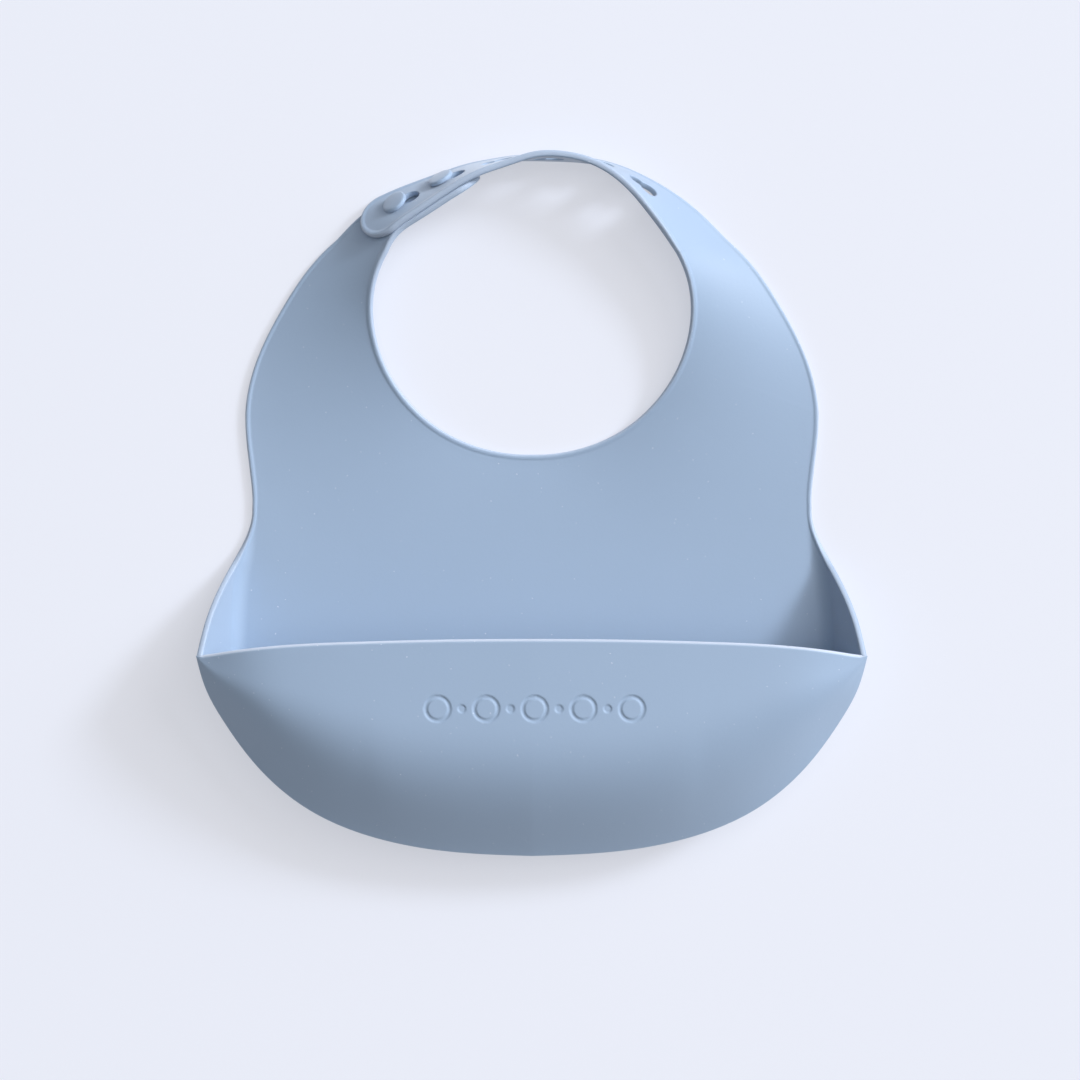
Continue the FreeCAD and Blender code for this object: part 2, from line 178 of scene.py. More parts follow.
def edge_section(t, bead):
    """Free edge: distance in from it and height over the underside, from the top round to the underside."""
    d = np.array([RIM, 2.05, 1.8, 1.55, 1.3, 1.05, 0.8, 0.58, 0.38, 0.2, 0.07, 0.0,
                  0.0, 0.07, 0.22, 0.5, 0.9])
    rise = np.array([0, .07, .35, .72, .95, 1, .97, .82, .45]) * bead
    h = np.r_[t + rise, t - .08, t - .38, t - .72, .72, .38, .16, .04, 0.0]
    return d, h


def cap_section(t):
    """Edge that another sheet joins: square, no bead."""
    d = np.array([RIM, 2.05, 1.8, 1.55, 1.3, 1.05, 0.8, 0.55, 0.3, 0.1, 0.0, 0.0, 0.0, 0.0, 0.1, 0.5, 0.9])
    return d, np.array([t] * 11 + [t * .66, t * .33, 0, 0, 0, 0])


def lip_section(t):
    """Pocket lip: no bead, its outer corner eased off over a millimetre."""
    d = edge_section(t, 0)[0]
    h = t - np.array([0, 0, 0, 0, 0, 0, .05, .14, .26, .42, .6, .8])
    return d, np.r_[h, .5, .25, .1, .03, 0.0]


on_top = np.arange(17) < 13     # the points of a section that show from the front
# Painted highlight: the top of an edge and the pocket lip are painted paler, standing in for the light their
# rounded edges catch.
edge_highlight = np.interp(edge_section(SHEET, BEAD)[0], [0.0, 0.5, 0.9], [0.22, 0.22, 0.0]) * on_top
lip_highlight = np.interp(edge_section(LIP_T, 0)[0], [0.0, 0.5, 0.9], [0.6, 0.6, 0.0]) * on_top
print("edge bead", BEAD, "mm")

# %% [markdown]
# ## The moulded back: chest panel, yoke and the outer wall of the pocket
# The outline runs from the shoulder down the side to the pocket corner and on to the middle of the bottom.
# Along the side the wall stands up from a tight bend; below the corner it becomes a full round.
# %%
WALL_TILT, BEND_R = math.radians(73), 7.5    # slope of the side wall and the bend it rises from
RUN_BOTTOM = 18.0                            # plan width of the round under the pocket
TURN_SHARE = 0.30                            # share of the bottom line over which the round takes over
NECK_RISE, NECK_FRONT_Y = 0.217, 29.2        # the neck edge climbs towards the back
CHEST_MIDDLE = (0, -30)                      # a point well inside the outline
bottom, lip = spline(BOTTOM), spline(LIP)


def set_back(rise, reach, t):
    """Plan distance to the outer edge of the underside when the top edge is the visible outline."""
    tilt = np.arctan2(rise, reach)
    for _ in range(5):
        tilt = np.arctan2(rise, reach - t * np.sin(tilt))
    return reach - t * np.sin(tilt)


def base_rows(stations, t):
    """Underside neck edge and outer edge for stations given by what shows from the front."""
    s = np.asarray(stations, float)
    d = s[:, 3:5] - s[:, :2]
    reach = np.linalg.norm(d, axis=1)
    plan = s[:, :2] + d / reach[:, None] * set_back(s[:, 2], reach, t)[:, None]
    return s[:, :3], np.c_[plan, np.zeros(len(s))]


def polar(angle, r):
    q = np.radians(angle)
    return np.stack([r * np.cos(q), NECK_Y + r * np.sin(q)], -1)


neck_radius = table(NECK_LOW + [(a, r) for a, r, _ in COLLAR])


def neck_edge(angle):
    p = polar(angle, neck_radius(np.asarray(angle, float)))
    return np.c_[p, np.maximum(NECK_RISE * (p[:, 1] - NECK_FRONT_Y), 0)]


def outline_normals(p):
    """Unit vectors in plan, square to a line and pointing to the middle of the bib."""
    d = np.gradient(p[:, :2], axis=0)
    n = unit(np.stack([d[:, 1], -d[:, 0]], -1))
    return n * np.sign((n * (vec(*CHEST_MIDDLE) - p[:, :2])).sum(1))[:, None]


collar = np.array(COLLAR[::-1], float)
_, collar_outer = base_rows(np.c_[neck_edge(collar[:, 0]), polar(collar[:, 0], collar[:, 2])], SHEET)
u_low = np.linspace(0, 1, 400)
upper = spline(collar_outer[:-1].tolist() + SIDE)(np.linspace(0, 1, 320))[:-1]
lower = bottom(u_low)
turn = smooth(u_low / TURN_SHARE)[:, None]
lower_in = unit(vec(-1, 0) * (1 - turn) + outline_normals(lower) * turn)
lower_in[-1] = 0, 1
outline = np.vstack([upper, lower])
inward = np.vstack([np.tile(vec(-1, 0), (len(upper), 1)), lower_in])
roundness = np.r_[np.zeros(len(upper)), smooth(u_low / TURN_SHARE)]
length = np.r_[0, np.cumsum(np.linalg.norm(np.diff(outline[:, :2], axis=0), axis=1))]
corner_at, total = length[len(upper)], length[-1]


def outline_at(s):
    """Edge point, inward direction and roundness of the wall at a distance along the outline."""
    def pick(values):
        return np.stack([np.interp(s, length, v) for v in np.atleast_2d(values.T)], -1)
    return pick(outline), unit(pick(inward)), pick(roundness)[:, 0]


print(f"half outline {total:.1f} mm, corner at {corner_at:.1f} mm")

# %% [markdown]
# Each row of the skin runs from the neck edge over the flat chest and up the wall. The neck lifts the chest
# round it like a shallow cone that fades out over the chest.
# %%
N_SIDE, N_LOW, N_FLAT, N_WALL = 190, 130, 40, 44
WALL_ZONE = 40.0                # the outer part of a row, which has the finer cells
BEAD_FADE = 4.0                 # the free bead dies away this far past the pocket corner
stops = np.r_[np.linspace(0, corner_at, N_SIDE), np.linspace(corner_at, total, N_LOW)[1:]]
EDGE, INWARD, ROUND = outline_at(stops)
FREE = 1 - smooth((stops - corner_at) / BEAD_FADE)
ANGLE = np.degrees(np.arctan2(EDGE[:, 1] - NECK_Y, EDGE[:, 0]))
NECK = neck_edge(ANGLE)
lift_reach = table([(-20, 51), (-30, 56.5), (-37, 58.5), (-45, 56), (-60, 45), (-75, 33), (-90, 27)])


def wall_section(rise, roundness_, n=61):
    """Underside of the wall from the flat sheet to the edge: plan distance and height."""
    q, rise = np.linspace(0, 1, n), max(rise, 0.0)
    tilt = math.acos(max(1 - rise / BEND_R, math.cos(WALL_TILT)))
    straight = (rise - BEND_R * (1 - math.cos(tilt))) / max(math.sin(tilt), 1e-9)
    s = q * (BEND_R * tilt + straight)
    bend, on = np.minimum(s / BEND_R, tilt), np.maximum(s - BEND_R * tilt, 0)
    r = BEND_R * np.sin(bend) + on * math.cos(tilt)
    z = BEND_R * (1 - np.cos(bend)) + on * math.sin(tilt)
    turn_ = np.pi / 2 * q
    return (r + (RUN_BOTTOM * np.sin(turn_) - r) * roundness_,
            z + (rise * (1 - np.cos(turn_)) - z) * roundness_)


def skin_line(k):
    """Underside of one row as a dense line of points with the distance along it."""
    r, z = wall_section(EDGE[k, 2], ROUND[k])
    wall = EDGE[k, :2] + INWARD[k] * (r[-1] - r)[:, None]
    flat = NECK[k, :2] + (wall[0] - NECK[k, :2]) * np.linspace(0, 1, 160)[:-1, None]
    plan, height = np.vstack([flat, wall]), np.r_[np.zeros(len(flat)), z]
    away = np.r_[0, np.cumsum(np.linalg.norm(np.diff(plan, axis=0), axis=1))]
    reach = away[-1] if ANGLE[k] > -20 else float(lift_reach(np.array([ANGLE[k]]))[0])
    power = 1 + 0.9 * smooth(-ANGLE[k] / 50)
    line = np.c_[plan, height + NECK[k, 2] * np.clip(1 - away / reach, 0, 1) ** power]
    line = line[np.r_[True, np.diff(away) > 1e-6]]
    return line, np.r_[0, np.cumsum(np.linalg.norm(np.diff(line, axis=0), axis=1))]


def skin_row(k):
    """Points and directions on the underside for one closed section, and the height over it of each."""
    line, arc = skin_line(k)
    full = arc[-1]
    d_in, h_in = edge_section(SHEET, BEAD)
    cap, free = cap_section(SHEET), edge_section(SHEET, BEAD)
    d_out, h_out = (c + (f - c) * FREE[k] for c, f in zip(cap, free))
    wall_from = max(full - WALL_ZONE, full * 0.5)
    mid = np.r_[np.linspace(RIM, wall_from, N_FLAT)[1:-1], np.linspace(wall_from, full - RIM, N_WALL)[:-1]]
    back = mid[::-2][1:]
    at = np.r_[d_in[::-1][6:], mid, full - d_out, back, d_in[::-1][:6]]
    over_ = np.r_[h_in[::-1][6:], np.full(len(mid), SHEET), h_out, np.zeros(len(back)), h_in[::-1][:6]]
    # painted highlight along the free edges of the skin
    pale = np.r_[edge_highlight[::-1][6:], 0 * mid, edge_highlight * FREE[k], 0 * back, edge_highlight[::-1][:6]]
    point = np.stack([np.interp(at, arc, c) for c in line.T], -1)
    slope = np.gradient(line, arc, axis=0)
    along_ = unit(np.stack([np.interp(at, arc, c) for c in slope.T], -1))
    if ROUND[k] > 0.99:
        along_[len(h_in[6:]) + len(mid):][:len(d_out)] = vec(0, 0, 1)
    return point, along_, over_, pale


def whole(half_rows, sign=(-1, 1, 1)):
    """Both halves of the bib from the right one."""
    other = half_rows[::-1][1:] * (np.array(sign) if half_rows.ndim == 3 else 1)
    return np.concatenate([half_rows, other])


point, along_row, over, pale = (whole(np.array(g)) for g in zip(*[skin_row(k) for k in range(len(stops))]))
normal = unit(np.cross(np.gradient(point, axis=0), along_row))
normal *= np.sign(normal[len(normal) // 2, 40, 2])
# At the shoulders the skin takes the slope of the strap that goes on from it.
plain_n = unit(np.stack([-along_row[..., 2] * along_row[..., 0], -along_row[..., 2] * along_row[..., 1],
                         along_row[..., 0] ** 2 + along_row[..., 1] ** 2], -1))
row_no = np.arange(len(point))
near_strap = 1 - smooth(np.minimum(row_no, row_no[::-1]) / 10)
normal = unit(normal + (plain_n - normal) * near_strap[:, None, None])
skin = point + normal * over[..., None]
rows, cols = skin.shape[:2]
back_piece = make_mesh("bib_back", skin.reshape(-1, 3), ring_faces(rows, cols) + end_caps(rows, cols),
                       pale.ravel())
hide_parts("chest_panel", "pocket_rim", "yoke")
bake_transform(back_piece)

# %% [markdown]
# ## Pocket front
# The front rolls up from the outline and over to the lip. It is in three pieces that meet along straight
# lines, because its middle flexes outwards while both corners stay put.
# %%
MID_X, CORNER_X = 40.0, 111.6
TURN_X = 25.0                                        # rows turn square to the outline over this width
ROLL_R, ROLL_SHARE, ROLL_FOOT = 50.0, 0.80, 1.5      # rounding over the outline, gentle at its foot
ROLL_EASE = 6                                        # how sharply the two limits on the rounding meet
BEND_SHARE = 0.42                                    # share of a row that leaves the outline square to it
lip_x = table([(0, 0), (20, 20), (40, 40), (52, 51), (64, 61), (75.6, 70.5), (92.6, 87.0), (103.4, 99.5),
               (108.6, 106.6), (CORNER_X, CORNER_X)])
lip_points = lip(np.linspace(0, 1, 800))[::-1]
N_FRONT, N_ROLL, N_MARKED, N_THIN = 132, 52, 65, 16   # columns: all, foot, pressed area, thinning
N_BESIDE, N_MIDDLE = 116, 122                        # rows: beside the middle and half of the middle
FIT_LENGTH = 8.0                                     # rows shorter than this have a smaller lip


def front_line(e, n):
    """Outer face of one row of the front, from the outline to the lip, dense."""
    x = float(lip_x(np.array([e[0]]))[0]) if e[0] > MID_X else e[0]
    end = np.array([np.interp(x, lip_points[:, 0], lip_points[:, k]) for k in range(3)])
    straight = 1 - smooth((e[0] - MID_X) / TURN_X)
    n = unit(n * (1 - straight) + vec(0, 1) * straight)
    d = end[:2] - e[:2]
    reach = np.hypot(*d)
    q = np.linspace(0, 1, 161)
    w = 0.8 * (1 - np.cos(np.pi / 2 * q)) + 0.2 * q
    control = (e[:2] + n * reach * BEND_SHARE) * (1 - straight) + (e[:2] + d * BEND_SHARE) * straight
    plan = (e[:2] * ((1 - w) ** 2)[:, None] + control * (2 * w * (1 - w))[:, None]
            + end[:2] * (w * w)[:, None])
    away = np.r_[0, np.cumsum(np.linalg.norm(np.diff(plan, axis=0), axis=1))]
    share = max(reach * ROLL_SHARE, 1e-3)
    roll = (ROLL_R ** -ROLL_EASE + share ** -ROLL_EASE) ** (-1 / ROLL_EASE)      # the shorter, eased over
    k = np.clip(away / roll, 0, 1)
    line = np.c_[plan, e[2] + (end[2] - e[2]) * (1 - (1 - k) ** 3 * (1 + ROLL_FOOT * k))]
    return line, np.r_[0, np.cumsum(np.linalg.norm(np.diff(line, axis=0), axis=1))], n


def front_row(e, n):
    line, arc, n = front_line(e, n)
    full = max(arc[-1], 1e-3)
    fit = min(1.0, full / FIT_LENGTH)
    d_lip = lip_section(LIP_T)[0]
    low, high = full * 0.55, min(full * 0.82, (full - RIM * fit) * 0.93)
    at = np.r_[np.linspace(0, low, N_ROLL), np.linspace(low, high, N_MARKED)[1:],
               np.linspace(high, full - RIM * fit, N_FRONT - N_ROLL - N_MARKED + 2)[1:],
               full - d_lip[1:] * fit]
    return np.stack([np.interp(at, arc, c) for c in line.T], -1), np.full(len(at), fit), n


mid_stop = np.interp(-MID_X, -outline[len(upper):, 0], length[len(upper):])
front_stops = np.r_[np.linspace(corner_at, mid_stop, N_BESIDE), np.linspace(mid_stop, total, N_MIDDLE)[1:]]
f_edge, f_in, _ = outline_at(front_stops)
grid, fit, f_n = (np.array(g) for g in zip(*[front_row(e, n) for e, n in zip(f_edge, f_in)]))
grid, fit = whole(grid), whole(fit)
f_n = np.vstack([f_n, (f_n[::-1] * vec(-1, 1))[1:]])
outward = unit(np.cross(np.gradient(grid, axis=0), np.gradient(grid, axis=1)))
outward *= np.sign(outward[len(outward) // 2, 60, 2])
outward[:, 0] = np.c_[-f_n, np.zeros(len(f_n))]
outward[:, N_FRONT + 8:] = outward[:, N_FRONT + 8:N_FRONT + 9]       # the lip turns back under itself
print("front rows", len(grid), "longest row", round(float(np.linalg.norm(np.diff(
    grid[len(grid) // 2], axis=0), axis=1).sum()), 1), "mm")

# %% [markdown]
# A plain row of rings and dots is pressed into the middle of the front, where such mouldings carry a mark.
# %%
MARK_Y, MARK_X, MARK_STEP, RING_R, STROKE, DOT_R, MARK_DEEP = -55.6, 1.0, 16.0, 3.9, 1.15, 1.3, 0.32


def pressed(x, y):
    """0 outside the mark, 1 on its floor."""
    out = np.zeros_like(x)
    for k in range(-2, 3):
        r = np.hypot(x - MARK_X - k * MARK_STEP, y - MARK_Y)
        out = np.maximum(out, smooth((STROKE / 2 + 0.15 - abs(r - RING_R)) / 0.3))
    for k in (-1.5, -0.5, 0.5, 1.5):
        r = np.hypot(x - MARK_X - k * MARK_STEP, y - MARK_Y)
        out = np.maximum(out, smooth((DOT_R + 0.15 - r) / 0.3))
    return out


sunk = pressed(grid[..., 0], grid[..., 1]) * MARK_DEEP
h_lip = lip_section(LIP_T)[1][1:] - LIP_T
over = np.r_[np.zeros(N_FRONT), h_lip] * fit - sunk
top = grid + outward * over[..., None]
thick = np.r_[np.linspace(SHEET, LIP_T, N_THIN), np.full(N_FRONT - N_THIN, LIP_T)]
under = (grid[:, :N_FRONT] - outward[:, :N_FRONT] * (thick * np.maximum(fit[:, :N_FRONT], 0.15))[..., None])
front = np.concatenate([top, under[:, ::-1]], 1)
# painted highlight along the pocket lip
front_highlight = np.tile(np.r_[np.zeros(N_FRONT - 1), lip_highlight, np.zeros(N_FRONT)], (len(front), 1))
print("pressed mark", round(float(sunk.max()), 2), "mm deep")


def front_piece(name, first, last):
    """Rows first to last as one closed piece that passes from the chest to the flap between two points."""
    part = front[first:last + 1]
    r, c = part.shape[:2]
    caps = []
    for at in (0, (r - 1) * c):
        caps += [(at + i, at + i + 1, at + c - 2 - i, at + c - 1 - i) for i in range(N_FRONT - 1)]
        caps.append(tuple(at + np.arange(N_FRONT - 1, c - N_FRONT + 1)))
    o = make_mesh(name, part.reshape(-1, 3), ring_faces(r, c) + caps, front_highlight[first:last + 1].ravel())
    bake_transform(o)
    return o


# %% [markdown]
# The front is made as three closed pieces: the middle, and one beside it on each side towards the corners.
# %%
x_row = grid[:, 0, 0]
i_right, i_left = int(np.argmin(abs(x_row - MID_X))), int(np.argmin(abs(x_row + MID_X)))
front_pieces = [
    front_piece("pocket_front_middle", i_right, i_left),
    front_piece("pocket_front_right", 0, i_right),
    front_piece("pocket_front_left", i_left, len(front) - 1)]
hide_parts("pocket_flap", "pocket_front")

# %% [markdown]
# ## Straps
# A strap is a ruled strip; s runs along its middle and w across it. The holed strap comes over the back of
# the neck and its tab lies on the button strap, one thickness and a small gap above it.
# %%
HALF = STRAP_W / 2


def strap_t(s):
    """Strap thickness, from the chest skin's at the shoulder to its own."""
    return SHEET + (STRAP_T - SHEET) * smooth(np.asarray(s) / 14.0)


def station_t(n):
    return np.r_[SHEET, SHEET + (STRAP_T - SHEET) * 0.7, np.full(n - 2, STRAP_T)]


def sheet_normal(a, b):
    d = b[:, :2] - a[:, :2]
    reach = np.linalg.norm(d, axis=1, keepdims=True)
    return unit(np.c_[d / reach * (a[:, 2:] - b[:, 2:]), reach])


class Strap:
    """Ruled strip between two edge lines, addressed by distance along, across and over its underside."""

    def __init__(self, a, b, width):
        mid = (a + b) / 2
        self.s = np.r_[0, np.cumsum(np.linalg.norm(np.diff(mid, axis=0), axis=1))]
        self.fa, self.fb = spline(a, self.s / self.s[-1]), spline(b, self.s / self.s[-1])
        self.w = width

    def rows(self, s):
        u = np.clip(np.asarray(s, float) / self.s[-1], -0.02, 1.02)
        return self.fa(u), self.fb(u)

    def point(self, s, w, h=0.0):
        s, w, h = np.broadcast_arrays(np.asarray(s, float), np.asarray(w, float), np.asarray(h, float))
        shape = s.shape
        s, w, h = s.ravel(), w.ravel(), h.ravel()
        a, b = self.rows(s)
        full = np.linalg.norm(b - a, axis=1)
        d = self.w / 2 - abs(w)
        inside = abs(w) * (full / 2 - RIM) / (self.w / 2 - RIM)
        v = (0.5 + np.sign(w) * np.where(d < RIM, full / 2 - d, inside) / full)[:, None]
        return (a + (b - a) * v + sheet_normal(a, b) * h[:, None]).reshape(shape + (3,))


hole_a, hole_b = base_rows(HOLE_STRAP, station_t(len(HOLE_STRAP)))
button_a, button_b = base_rows(BUTTON_STRAP, station_t(len(BUTTON_STRAP)))
lift = sheet_normal(button_a, button_b) * (STRAP_T + STACK)
long = Strap(np.vstack([hole_a, (button_a + lift)[:0:-1]]),
             np.vstack([hole_b, (button_b + lift)[:0:-1]]), STRAP_W)
button = Strap(button_a, button_b, STRAP_W)
print("long strap", round(float(long.s[-1]), 1), "mm, button strap", round(float(button.s[-1]), 1), "mm")

# %% [markdown]
# The studs stand on the button strap. The first two keyholes lie over them and the others follow one pitch
# apart towards the shoulder.
# %%


def middle_line(strap, h, n=5000):
    s = np.linspace(0, strap.s[-1], n)
    p = strap.point(s, 0.0, h)
    return s, p, np.r_[0, np.cumsum(np.linalg.norm(np.diff(p, axis=0), axis=1))]


def frame_of(strap, s, h):
    """Point, outward normal and direction along a strap."""
    n = sheet_normal(*strap.rows([s]))[0]
    e = unit(strap.point(s + 1.0, 0.0, h) - strap.point(s - 1.0, 0.0, h))
    return strap.point(s, 0.0, h), n, unit(e - n * (e @ n))


s_b, p_b, l_b = middle_line(button, STRAP_T)
first = int(np.argmin(abs(p_b[:, 0] - STUD_X)))
stud_s = s_b[first], np.interp(l_b[first] + STUD_PITCH, l_b, s_b)
stud_frames = [frame_of(button, s, STRAP_T) for s in stud_s]

s_l, p_l, l_l = middle_line(long, STRAP_T / 2)
hole_s = []
for p, n, _ in stud_frames:
    off = (p_l - p) - ((p_l - p) @ n)[:, None] * n
    hole_s.append(s_l[np.argmin((off**2).sum(1))])
for _ in range(4):
    hole_s.append(np.interp(np.interp(hole_s[-1], s_l, l_l) - STUD_PITCH, l_l, s_l))
print("studs", [np.round(f[0], 1).tolist() for f in stud_frames], "keyholes", np.round(hole_s, 1).tolist())

# %% [markdown]
# The round end is set out in the plane of the first stem and dropped onto the strap's own surface, so it
# stays a true half circle although the strap twists.
# %%
STEM_P, STEM_N, STEM_E = stud_frames[0]
STEM_W = np.cross(STEM_N, STEM_E)
FACING = 1.0 if (long.fb([1.0]) - long.fa([1.0]))[0] @ STEM_W > 0 else -1.0


def drop(x, y, s, w):
    """Strap coordinates of a point given along and across in the plane of the first stem."""
    s, w, step = np.array(s, float), np.array(w, float), 0.05
    for _ in range(12):
        f = long.point(s, w) - STEM_P
        fs = (long.point(s + step, w) - long.point(s - step, w)) / (2 * step)
        fw = (long.point(s, w + step) - long.point(s, w - step)) / (2 * step)
        r0, r1 = f @ STEM_E - x, f @ STEM_W - y
        a, b, c, d = fs @ STEM_E, fw @ STEM_E, fs @ STEM_W, fw @ STEM_W
        s, w = s - (d * r0 - b * r1) / (a * d - b * c), w - (a * r1 - c * r0) / (a * d - b * c)
    return s, w


def on_long(s, w, h):
    """Point on the holed strap; beyond the second stem the plane of the first one sets the layout."""
    s, w, h = np.broadcast_arrays(np.asarray(s, float), np.asarray(w, float), np.asarray(h, float))
    own = long.point(s, w, h)
    k = smooth((s - (hole_s[0] - 12.0)) / 10.0)
    far = k > 0
    if far.any():
        gs, gw = drop(hole_s[0] - s[far], w[far] * FACING, np.clip(s[far], 0, long.s[-1]), w[far])
        own[far] += (long.point(gs, gw, h[far]) - own[far]) * k[far][:, None]
    return own


# %% [markdown]
# One function builds every strap: closed sections, a patch of finer cells round each keyhole and a round end.
# %%
GRID = 0.8                      # spacing of the cells across a strap
KEY_FROM, KEY_MID = 10.5, 2.3   # reach of a keyhole's patch towards the shoulder, middle of the keyhole
ROUND_STEPS = 48


def strap_section(t):
    d, h = edge_section(t, BEAD)
    mid = np.arange(-9, 10) * GRID
    across = np.r_[mid, HALF - d, mid[::-1], d[::-1] - HALF]
    height = np.r_[np.full(len(mid), t), h, np.zeros(len(mid)), h[::-1]]
    # painted highlight along both edges of the strap
    edge = np.r_[0 * mid, edge_highlight, 0 * mid, edge_highlight[::-1]]
    return across, height, edge, len(mid), len(d)


def keyhole_radius(angle):
    """Distance from the middle of a keyhole to its edge, towards its large end at angle 0."""
    r = np.linspace(0.2, 9, 1600)
    x, y = r * np.cos(angle)[:, None] + KEY_MID, r * np.sin(angle)[:, None]
    inside = (np.hypot(x, y) < KEY_SMALL_R) | (np.hypot(x - KEY_STEP, y) < KEY_BIG_R)
    inside |= (abs(y) < KEY_SMALL_R * 0.74) & (x > 0) & (x < KEY_STEP)
    rad = np.array([r[np.where(row)[0].max()] for row in inside])
    for _ in range(2):
        rad = 0.5 * rad + 0.25 * (np.roll(rad, 1) + np.roll(rad, -1))
    return rad


def keyhole_rings(hs, s_ring, w_ring, t):
    """Rings of points from the patch border in to the hole, down its wall and out again underneath."""
    x, y = (hs - s_ring) - KEY_MID, w_ring
    angle = np.arctan2(y, x)
    ux, uy = np.cos(angle), np.sin(angle)
    rad = keyhole_radius(angle)
    rings = []
    for f in (0.25, 0.5, 0.72, 0.88):
        rings.append((x + (ux * (rad + 0.5) - x) * f, y + (uy * (rad + 0.5) - y) * f, t))
    below = [(a, b, 0.0) for a, b, _ in rings[::-1]]
    for off, h in ((.5, t), (.28, t - .03), (.12, t - .12), (.02, t - .32), (0, t / 2),
                   (.02, .32), (.12, .12), (.28, .03), (.5, 0)):
        rings.append((ux * (rad + off), uy * (rad + off), h))
    return [(hs - (a + KEY_MID), b, h) for a, b, h in rings + below]


def strap_piece(name, place, s_list, t_of, holes=(), round_end=False):
    across, height, edge, n_mid, n_edge = strap_section(STRAP_T)
    c = len(across)
    thick = np.broadcast_to(t_of(s_list), s_list.shape) / STRAP_T
    points = [place(s_list[:, None], across[None], height[None] * thick[:, None]).reshape(-1, 3)]
    marks = [np.tile(edge, len(s_list))]
    count = len(points[0])
    faces, gone = ring_faces(len(s_list), c), set()
    j0, j1 = 2, n_mid - 3

    def below(j):
        return n_mid + n_edge + (n_mid - 1 - j)

    def put(p, mark=0.0):
        nonlocal count
        points.append(p)
        marks.append(np.full(len(p), mark))
        count += len(p)
        return np.arange(count - len(p), count)

    def band(p, q):
        m = len(p)
        return [(p[k], p[(k + 1) % m], q[(k + 1) % m], q[k]) for k in range(m)]

    for hs in holes:
        i0, i1 = (int(np.argmin(abs(s_list - s))) for s in (hs - KEY_FROM, hs + TAB_END))
        border = [(i, j0) for i in range(i0, i1)] + [(i1, j) for j in range(j0, j1)]
        border += [(i, j1) for i in range(i1, i0, -1)] + [(i0, j) for j in range(j1, j0, -1)]
        bi, bj = np.array(border).T
        rings = [bi * c + bj]
        for s, w, h in keyhole_rings(hs, s_list[bi], across[bj], STRAP_T):
            rings.append(put(place(s, w, np.broadcast_to(h, s.shape))))
        rings.append(bi * c + below(bj))
        for p, q in zip(rings, rings[1:]):
            faces += band(p, q)
        gone |= {i * c + j for i in range(i0, i1) for j in range(j0, j1)}
        gone |= {i * c + below(j + 1) for i in range(i0, i1) for j in range(j0, j1)}
    faces = [f for k, f in enumerate(faces) if k not in gone]
    faces.append(tuple(range(c)))
    last = (len(s_list) - 1) * c
    if not round_end:
        faces.append(tuple(range(last, last + c)))
    else:
        turns = np.linspace(0, np.pi, ROUND_STEPS + 1)[1:-1]
        centre = n_mid // 2
        chain = list(range(centre + 1, below(centre)))
        arcs = []
        for j in chain:
            mate = int(np.argmin(abs(across + across[j]) + abs(height - height[j])))
            ring = put(place(s_list[-1] + np.sin(turns) * across[j], np.cos(turns) * across[j],
                             np.full(len(turns), height[j] * thick[-1])), edge[j])
            arcs.append(np.r_[last + j, ring, last + mate])
        for p, q in zip(arcs, arcs[1:]):
            faces += [(p[k], q[k], q[k + 1], p[k + 1]) for k in range(ROUND_STEPS)]
        for tip, arc in ((last + centre, arcs[0]), (last + below(centre), arcs[-1])):
            faces += [(tip, arc[k], arc[k + 1]) for k in range(ROUND_STEPS)]
    return make_mesh(name, np.vstack(points), faces, np.concatenate(marks))


# %% [markdown]
# The holed strap is cut where its tab begins, so the tab is a piece of its own.
# %%
cells = [np.linspace(hs - KEY_FROM, hs + TAB_END, 19) for hs in hole_s[::-1]]
s_all = [np.linspace(0, cells[0][0], 24)]
for before, cell in zip(cells, cells[1:]):
    s_all += [before[1:], np.linspace(before[-1], cell[0], 4)[1:]]
s_all = np.concatenate(s_all + [cells[-1][1:]])
split = s_all[np.argmin(abs(s_all - 0.5 * (cells[1][-1] + cells[2][0])))]
holed = strap_piece("strap_holed", on_long, s_all[s_all <= split + 1e-6], strap_t,
                    [h for h in hole_s if h < split])
tab = strap_piece("strap_tab", on_long, s_all[s_all >= split - 1e-6], strap_t,
                  [h for h in hole_s if h > split], round_end=True)
buttoned = strap_piece("strap_buttons", button.point, np.linspace(0, button.s[-1] - HALF, 42), strap_t,
                       round_end=True)


def bend_line(strap, s, before, after):
    """Start and end of a bend about the ruling at s, square to that ruling."""
    a, b = strap.rows([s])
    ruling = unit(b - a)[0]
    e = strap.point(s + 2.0, 0.0) - strap.point(max(s - 2.0, 0), 0.0)
    e = unit(e - ruling * (e @ ruling))
    return tuple(((a + b)[0] / 2 + e * before) * MM), tuple(((a + b)[0] / 2 + e * after) * MM)


TAB_ROOT_X = -4.7
tab_root = float(s_l[np.argmin(abs(p_l[:, 0] - TAB_ROOT_X))])
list(bend_line(long, 0.0, 0.6, 11.0))
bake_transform(holed)
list(bend_line(long, tab_root, -5.0, 5.0))
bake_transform(tab)
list(bend_line(button, 0.0, 0.6, 9.0))
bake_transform(buttoned)
for piece, node in ((holed, "hole_strap"), (tab, "strap_tab"), (buttoned, "button_strap")):
    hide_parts(node)
print("tab bends at", round(tab_root, 1), "and is cut at", round(float(split), 1))

# %% [markdown]
# Mushroom studs: a stem that flares into the strap and a soft domed head, turned about the stem's own axis.
# %%
TURN_STEPS = 64
head_low = 2 * STACK + STRAP_T
head_top = head_low + HEAD_H


def arc_points(cx, cy, r, a0, a1, n):
    q = np.radians(np.linspace(a0, a1, n))
    return [(cx + r * math.cos(k), cy + r * math.sin(k)) for k in q]


